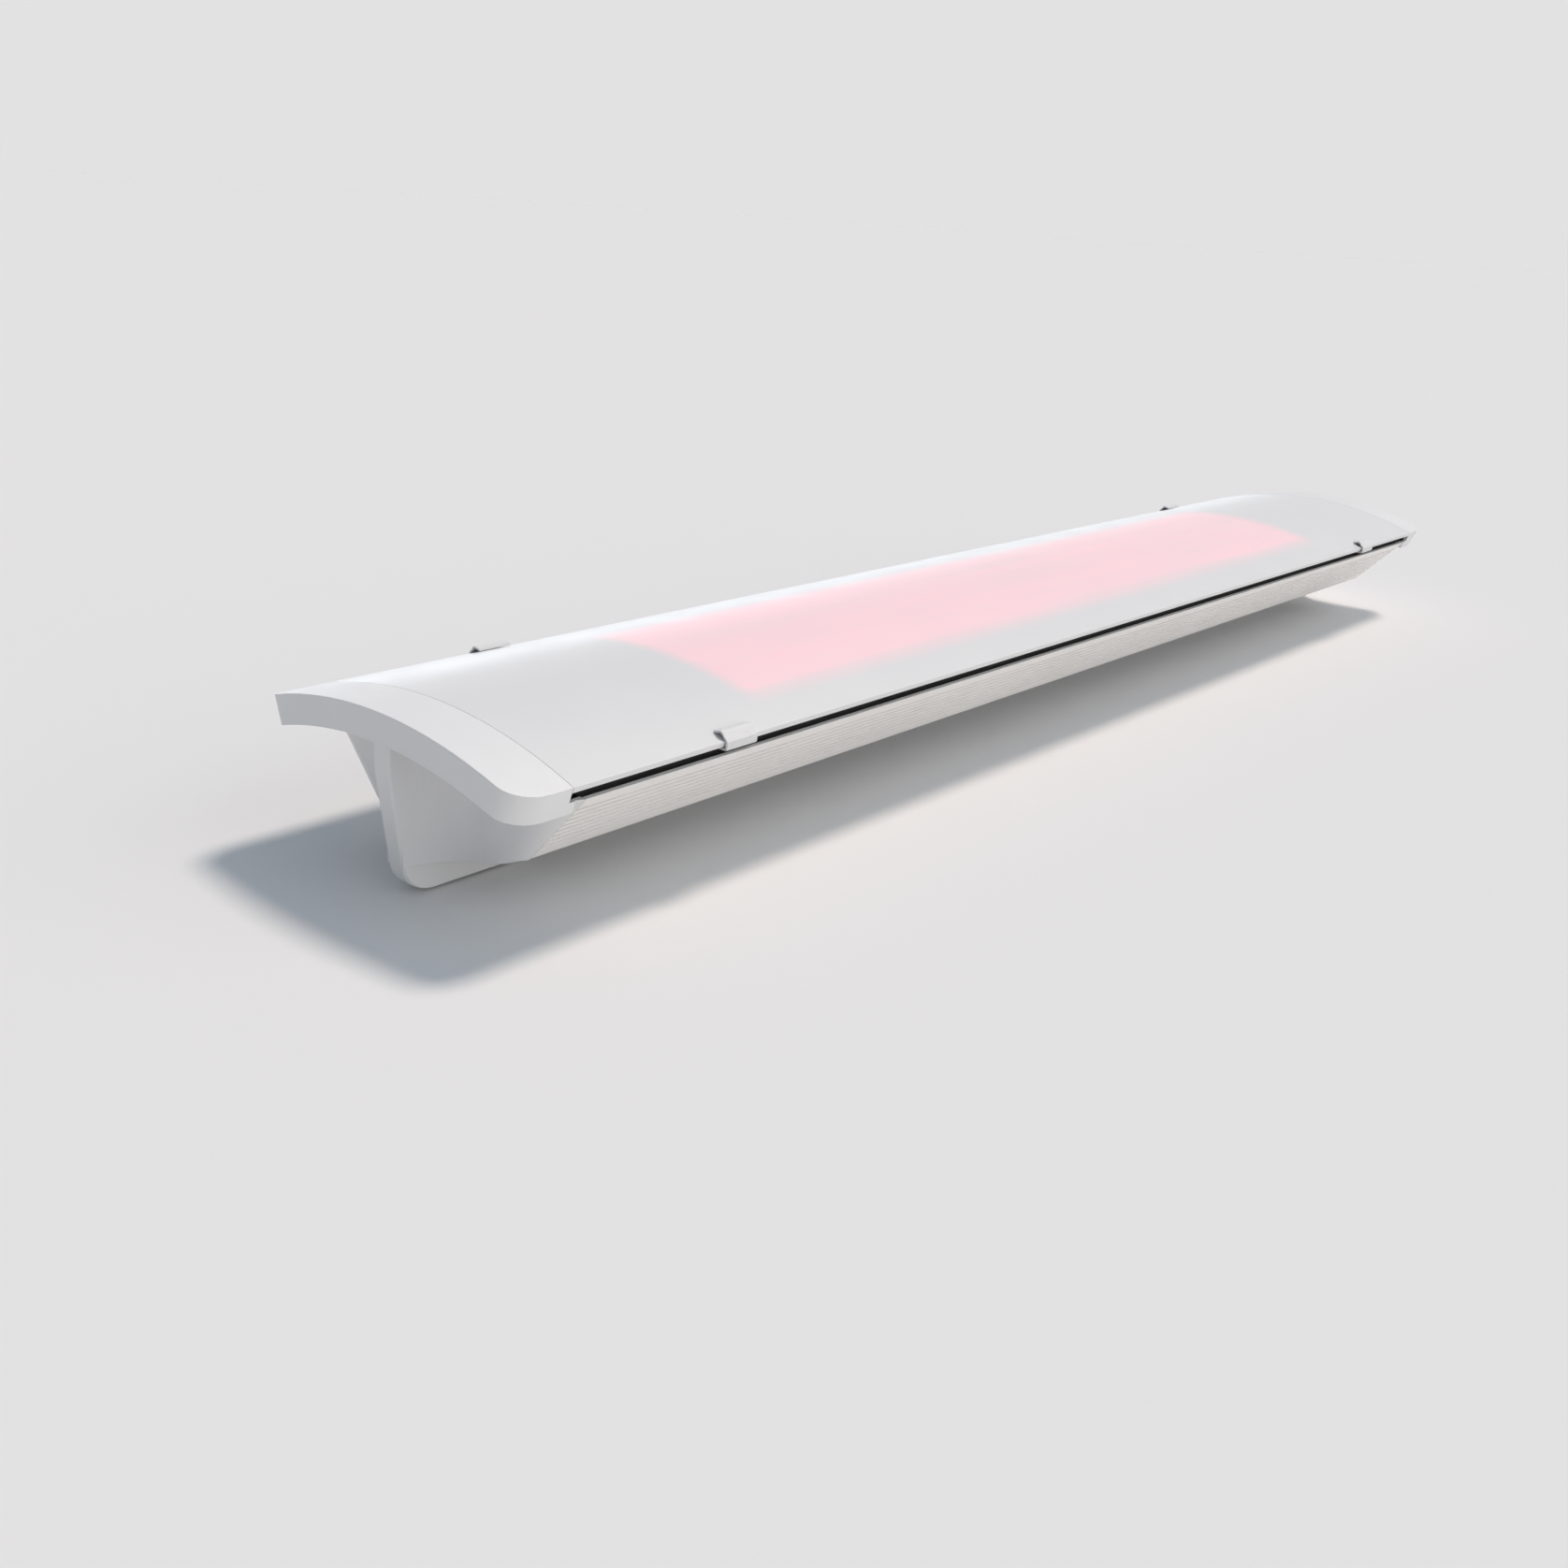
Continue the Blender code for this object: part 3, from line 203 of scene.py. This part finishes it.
def glowing_glass():
    """Satin white glass-ceramic; the tubes behind it show as a soft red-pink field."""
    made = Finish("white_glass", ior=1.52, coat=0.2, coat_roughness=0.2)
    ribbons = [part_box(f"heating_ribbon_{i}") for i in (1, 2, 3, 4)]
    left, right = min(low.x for low, _ in ribbons), max(high.x for _, high in ribbons)
    front, rear = min(low.y for low, _ in ribbons), max(high.y for _, high in ribbons)
    x, y, _ = made.axes()
    masks = []
    for along, edge, outward, fade in (
        (x, left - GLOW_LEFT, -1, GLOW_LEFT_FADE),
        (x, right + GLOW_RIGHT, 1, GLOW_RIGHT_FADE),
        (y, front - GLOW_FRONT, -1, GLOW_FRONT_FADE),
        (y, rear + GLOW_REAR, 1, GLOW_REAR_FADE),
    ):
        masks.append(made.span(along, edge + outward * fade, edge - outward * fade))
    glow = masks[0]
    for mask in masks[1:]:
        glow = made.calculate("MULTIPLY", glow, mask)
    streaks = made.span(made.noise(11 * MM, stretch=(22, 1, 1), detail=2.0), *MIDDLE, 0.78, 1.0)
    clouds = made.span(made.noise(70 * MM, stretch=(2, 1, 1)), *MIDDLE, 0.88, 1.0)
    glow = made.calculate("MULTIPLY", glow, made.calculate("MULTIPLY", streaks, clouds))
    cool = made.mix(made.noise(120 * MM), grey(0.745, 0.004), grey(0.77, 0.008))
    colour = made.mix(glow, cool, (0.83, 0.635, 0.66, 1))
    made.feed(made.shader.inputs["Emission Color"], made.mix(glow, (0, 0, 0, 1), (1.0, 0.30, 0.36, 1)))
    made.shader.inputs["Emission Strength"].default_value = GLOW_STRENGTH
    satin = made.span(made.noise(30 * MM), *BROAD, 0.29, 0.35)
    grain = made.relief(made.noise(1.1 * MM, detail=1.0), 0.001 * MM, made.plain_normal())
    return made.finish(colour, satin, grain)


def ribbed_coating():
    """Powder coating on drawn ribs: clouded colour, a fine grain, and painted shade darkening the grooves.
    """
    made = Finish("ribbed_coating", ior=1.47)
    colour = made.mix(made.noise(45 * MM), grey(0.89, 0.022), grey(0.86, 0.03))
    patches = made.span(made.noise(60 * MM), *MIDDLE, 0.75, 1.0)
    # Painted shade: the grooves are darkened towards grey 0.47 where other faces shut them in, patchily.
    dust_and_painted_shade = made.calculate("MULTIPLY", made.painted_shade(PAINTED_SHADE_REACH), patches)
    colour = made.mix(dust_and_painted_shade, colour, grey(0.47, 0.05))
    clouds = made.span(made.noise(14 * MM), *BROAD, 0.42, 0.52)
    return made.finish(colour, clouds, made.relief(made.noise(0.8 * MM), 0.01 * MM, made.plain_normal()))


def moulded(name, tone, shade, rubbed, amount, roughness, radius, grain, depth):
    """A moulded or coated surface: clouded colour, worn edges and a fine grain.

    amount is how far the edges, rounded by radius, are rubbed towards the colour rubbed.
    """
    made = Finish(name, ior=1.47)
    colour = made.mix(made.noise(45 * MM), tone, shade)
    colour = made.wear(colour, radius, rubbed, amount)
    clouds = made.span(made.noise(14 * MM), *BROAD, roughness - 0.05, roughness + 0.06)
    return made.finish(colour, clouds, made.relief(made.noise(grain), depth, made.rounded(radius)))


def drawn_metal(name, tone, shade, roughness, stretch, radius=0.25 * MM, depth=0.008 * MM):
    """Rolled, drawn or plated metal with fine lines, long where stretch is, and brighter edges."""
    made = Finish(name, metallic=1.0)
    lines = made.noise(0.5 * MM, stretch=stretch, detail=4.0)
    colour = made.mix(made.noise(18 * MM), tone, shade)
    colour = made.mix(made.span(lines, *MIDDLE, 0.0, 0.35), colour, shade)
    colour = made.wear(colour, radius, grey(0.85), 0.5)
    rough = made.span(made.noise(7 * MM), *BROAD, roughness - 0.06, roughness + 0.09)
    return made.finish(colour, rough, made.relief(lines, depth, made.rounded(radius)))


def scaled_ribbon():
    """Hot heating alloy: dull scale with brighter orange where it is thinnest."""
    made = Finish("ribbon_alloy", metallic=0.6)
    spots = made.span(made.noise(3 * MM, stretch=(3, 1, 1)), 0.35, 0.65)
    heat = made.mix(spots, (0.75, 0.07, 0.01, 1), (1.0, 0.22, 0.04, 1))
    made.feed(made.shader.inputs["Emission Color"], heat)
    made.shader.inputs["Emission Strength"].default_value = RIBBON_STRENGTH
    skin = made.relief(spots, 0.03 * MM, made.rounded(0.1 * MM))
    return made.finish(made.mix(spots, (0.20, 0.06, 0.04, 1), (0.40, 0.13, 0.07, 1)), 0.62, skin)


def quartz_tube():
    """A clear, slightly milky tube with faint lines drawn along it."""
    made = Finish("quartz", ior=1.46, transmission=0.82)
    lines = made.noise(1.2 * MM, stretch=(60, 1, 1), detail=2.0)
    colour = made.mix(lines, grey(0.86, 0.01), grey(0.97))
    rough = made.span(lines, *MIDDLE, 0.06, 0.22)
    return made.finish(colour, rough, made.relief(lines, 0.01 * MM, made.rounded(0.1 * MM)))


def woven_tape():
    """Black glass-fibre tape: two sets of crossed threads."""
    made = Finish("fibre_tape", sheen=0.3)
    x, _, z = made.axes()
    pitch = 2 * math.pi / (1.1 * MM)
    warp = made.calculate("SINE", made.calculate("MULTIPLY", x, pitch))
    weft = made.calculate("SINE", made.calculate("MULTIPLY", z, pitch))
    weave = made.span(made.calculate("MULTIPLY", warp, weft), -1, 1)
    colour = made.mix(weave, grey(0.035), grey(0.11, 0.02))
    rough = made.span(made.noise(2 * MM), *MIDDLE, 0.78, 0.95)
    return made.finish(colour, rough, made.relief(weave, 0.15 * MM, made.rounded(0.2 * MM)))


def pressed_board():
    """Pressed mineral fibre: matted short fibres and a few darker shots."""
    made = Finish("fibre_board", sheen=0.15)
    mat = made.noise(0.9 * MM, stretch=(4, 1.5, 1), detail=5.0)
    shots = made.span(made.noise(2.5 * MM), 0.66, 0.74)
    colour = made.mix(mat, (0.60, 0.56, 0.47, 1), (0.80, 0.77, 0.69, 1))
    colour = made.mix(shots, colour, (0.42, 0.38, 0.31, 1))
    rough = made.span(mat, 0.2, 0.8, 0.82, 0.97)
    return made.finish(colour, rough, made.relief(mat, 0.2 * MM, made.rounded(0.4 * MM)))


def striped_lead(name, tone, shade, stripe=None):
    """A silicone lead: soft sheen, a little dust, and its second colour if it has one."""
    made = Finish(name, ior=1.42, sheen=0.1)
    dust_and_painted_shade = made.span(made.noise(6 * MM), 0.45, 0.75, 0.0, 0.35)
    colour = made.mix(dust_and_painted_shade, tone, shade)
    if stripe:
        _, y, _ = made.axes()
        bands = made.calculate("SINE", made.calculate("MULTIPLY", y, 2 * math.pi / (2.4 * MM)))
        colour = made.mix(made.span(bands, -0.15, 0.15), colour, stripe)
    rough = made.span(made.noise(3 * MM), *MIDDLE, 0.42, 0.58)
    return made.finish(colour, rough, made.relief(made.noise(0.6 * MM), 0.01 * MM, made.rounded(0.2 * MM)))


FINISHES = {
    "white_glass": glowing_glass(),
    "white_cap": moulded(
        "white_cap", grey(0.80), grey(0.77, 0.006), rubbed=grey(0.86), amount=0.5,
        roughness=0.40, radius=0.45 * MM, grain=0.45 * MM, depth=0.012 * MM),
    "ribbed_coating": ribbed_coating(),
    "rail_alloy": drawn_metal("rail_alloy", grey(0.66), grey(0.73, -0.01), 0.34, (90, 1, 1)),
    "nut_steel": drawn_metal("nut_steel", grey(0.52, -0.02), grey(0.60, 0.03), 0.36, (12, 1, 1)),
    "clip_enamel": moulded(
        "clip_enamel", grey(0.76), grey(0.73, 0.01), rubbed=grey(0.60), amount=0.35,
        roughness=0.30, radius=0.2 * MM, grain=0.7 * MM, depth=0.015 * MM),
    "black_steel": moulded(
        "black_steel", grey(0.018, 0.05), grey(0.03), rubbed=grey(0.12), amount=0.6,
        roughness=0.55, radius=0.25 * MM, grain=0.6 * MM, depth=0.02 * MM),
    "fibre_tape": woven_tape(),
    "mirror_alloy": drawn_metal("mirror_alloy", grey(0.88), grey(0.82, 0.01), 0.16, (60, 1, 1)),
    "fibre_board": pressed_board(),
    "zinc_steel": drawn_metal("zinc_steel", grey(0.55, -0.02), grey(0.64, 0.02), 0.38, (3, 1, 1)),
    "quartz": quartz_tube(),
    "ribbon_alloy": scaled_ribbon(),
    "steatite": moulded(
        "steatite", (0.80, 0.77, 0.68, 1), (0.74, 0.70, 0.60, 1), rubbed=(0.86, 0.84, 0.78, 1), amount=0.7,
        roughness=0.62, radius=0.3 * MM, grain=0.5 * MM, depth=0.03 * MM),
    "lead_brown": striped_lead("lead_brown", (0.13, 0.05, 0.02, 1), (0.20, 0.10, 0.06, 1)),
    "lead_blue": striped_lead("lead_blue", (0.02, 0.08, 0.38, 1), (0.08, 0.15, 0.42, 1)),
    "lead_green": striped_lead("lead_green", (0.05, 0.30, 0.05, 1), (0.10, 0.36, 0.10, 1),
                               stripe=(0.80, 0.68, 0.05, 1)),
    "seal_rubber": moulded(
        "seal_rubber", grey(0.022), grey(0.035, 0.03), rubbed=grey(0.09), amount=0.5,
        roughness=0.68, radius=0.3 * MM, grain=0.4 * MM, depth=0.02 * MM),
    "black_plastic": moulded(
        "black_plastic", grey(0.02), grey(0.028, 0.02), rubbed=grey(0.08), amount=0.5,
        roughness=0.44, radius=0.3 * MM, grain=0.35 * MM, depth=0.015 * MM),
    "screw_steel": drawn_metal("screw_steel", grey(0.56, -0.01), grey(0.66, 0.03), 0.30, (1, 1, 1)),
}


def smooth_skin():
    """A node group that welds a mesh and shades it smooth, but for its sharp edges."""
    group = bpy.data.node_groups.new("smooth_skin", "GeometryNodeTree")
    for way in ("INPUT", "OUTPUT"):
        group.interface.new_socket("Geometry", in_out=way, socket_type="NodeSocketGeometry")
    nodes, links = group.nodes, group.links
    start, end = nodes.new("NodeGroupInput"), nodes.new("NodeGroupOutput")
    weld = nodes.new("GeometryNodeMergeByDistance")
    weld.inputs["Distance"].default_value = WELD
    drop = nodes.new("GeometryNodeRemoveAttribute")
    drop.inputs["Name"].default_value = "custom_normal"
    faces, edges = nodes.new("GeometryNodeSetShadeSmooth"), nodes.new("GeometryNodeSetShadeSmooth")
    edges.domain = "EDGE"
    edges.inputs["Shade Smooth"].default_value = False
    turn, sharp = nodes.new("GeometryNodeInputMeshEdgeAngle"), nodes.new("FunctionNodeCompare")
    sharp.inputs[1].default_value = SHARP_ANGLE
    links.new(turn.outputs["Unsigned Angle"], sharp.inputs[0])
    links.new(sharp.outputs[0], edges.inputs["Selection"])
    for a, b in zip((start, weld, drop, faces, edges), (weld, drop, faces, edges, end)):
        links.new(a.outputs[0], b.inputs[0])
    return group


skin = smooth_skin()
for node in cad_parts.values():
    for slot in node.material_slots:
        slot.material = FINISHES[slot.material.name]
    node.modifiers.new("skin", "NODES").node_group = skin
    weighted = node.modifiers.new("flats", "WEIGHTED_NORMAL")
    weighted.keep_sharp = True


def pale_floor():
    """A plain pale floor that reaches the horizon."""
    mesh = bpy.data.meshes.new("floor")
    corners = [(x, y, cad_box[0][2]) for x, y in ((-1, -1), (1, -1), (1, 1), (-1, 1))]
    mesh.from_pydata([(x * FLOOR_HALF, y * FLOOR_HALF, z) for x, y, z in corners], [], [(0, 1, 2, 3)])
    floor = bpy.data.objects.new("floor", mesh)
    bpy.context.scene.collection.objects.link(floor)
    made = Finish("floor_paint", specular=0.0)
    colour = made.mix(made.noise(FLOOR_CLOUD), FLOOR_COLOUR, grey(FLOOR_COLOUR[1] + FLOOR_SHADE))
    bumps = made.relief(made.noise(1.5 * MM), 0.01 * MM, made.plain_normal())
    mesh.materials.append(made.finish(colour, 0.95, bumps))


def sky():
    """A bright level horizon that fades to a dimmer, bluish zenith, and is dimmer on the left."""
    world = bpy.data.worlds.new("sky")
    world.use_nodes = True
    nodes, links = world.node_tree.nodes, world.node_tree.links
    way = nodes.new("ShaderNodeSeparateXYZ")
    links.new(nodes.new("ShaderNodeTexCoord").outputs["Generated"], way.inputs[0])
    ramp = nodes.new("ShaderNodeValToRGB")
    ramp.color_ramp.interpolation = "EASE"
    low, high = ramp.color_ramp.elements
    low.position, low.color = HORIZON_TOP, (*HORIZON_COLOUR, 1)
    high.position, high.color = ZENITH_START, (*ZENITH_COLOUR, 1)
    links.new(way.outputs["Z"], ramp.inputs[0])
    links.new(ramp.outputs[0], nodes["Background"].inputs["Color"])
    side = nodes.new("ShaderNodeMapRange")
    for socket, value in (("From Min", DIM_SIDE), ("From Max", BRIGHT_SIDE), ("To Min", DIM_SHARE)):
        side.inputs[socket].default_value = value
    links.new(way.outputs["X"], side.inputs["Value"])
    links.new(side.outputs["Result"], nodes["Background"].inputs["Strength"])
    bpy.context.scene.world = world


def lamp(name, kind, place, travel, colour, power, **shape):
    """A light at this place that shines along travel; the camera doesn't see it."""
    data = bpy.data.lights.new(name, kind)
    data.color, data.energy = colour, power
    for key, value in shape.items():
        setattr(data, key, value)
    light = bpy.data.objects.new(name, data)
    light.location = place
    light.rotation_euler = travel.to_track_quat("-Z", "Y").to_euler()
    light.visible_camera = False
    bpy.context.scene.collection.objects.link(light)
    return light


def viewpoint():
    """The camera, rolled a little about its own line of sight."""
    data = bpy.data.cameras.new("camera")
    data.lens, data.sensor_width = LENS_MM, SENSOR_MM
    camera = bpy.data.objects.new("camera", data)
    camera.location = CAMERA_PLACE
    aim = (CAMERA_AIM - CAMERA_PLACE).to_track_quat("-Z", "Y")
    camera.rotation_euler = (aim @ Quaternion((0, 0, 1), CAMERA_ROLL)).to_euler()
    bpy.context.scene.collection.objects.link(camera)
    bpy.context.scene.camera = camera


bpy.context.scene.view_settings.view_transform = "Standard"
pale_floor()
sky()
viewpoint()
lamp("key", "SUN", -KEY_TRAVEL, KEY_TRAVEL, KEY_COLOUR, KEY_POWER, angle=KEY_ANGLE)
lamp("fill", "SUN", -FILL_TRAVEL, FILL_TRAVEL, FILL_COLOUR, FILL_POWER, angle=FILL_ANGLE)
panel = lamp("panel", "AREA", PANEL_PLACE, PANEL_TRAVEL, PANEL_COLOUR, PANEL_POWER,
             shape="RECTANGLE", size=PANEL_SIZE[0], size_y=PANEL_SIZE[1])
panel.visible_diffuse = False    # only reflections show it
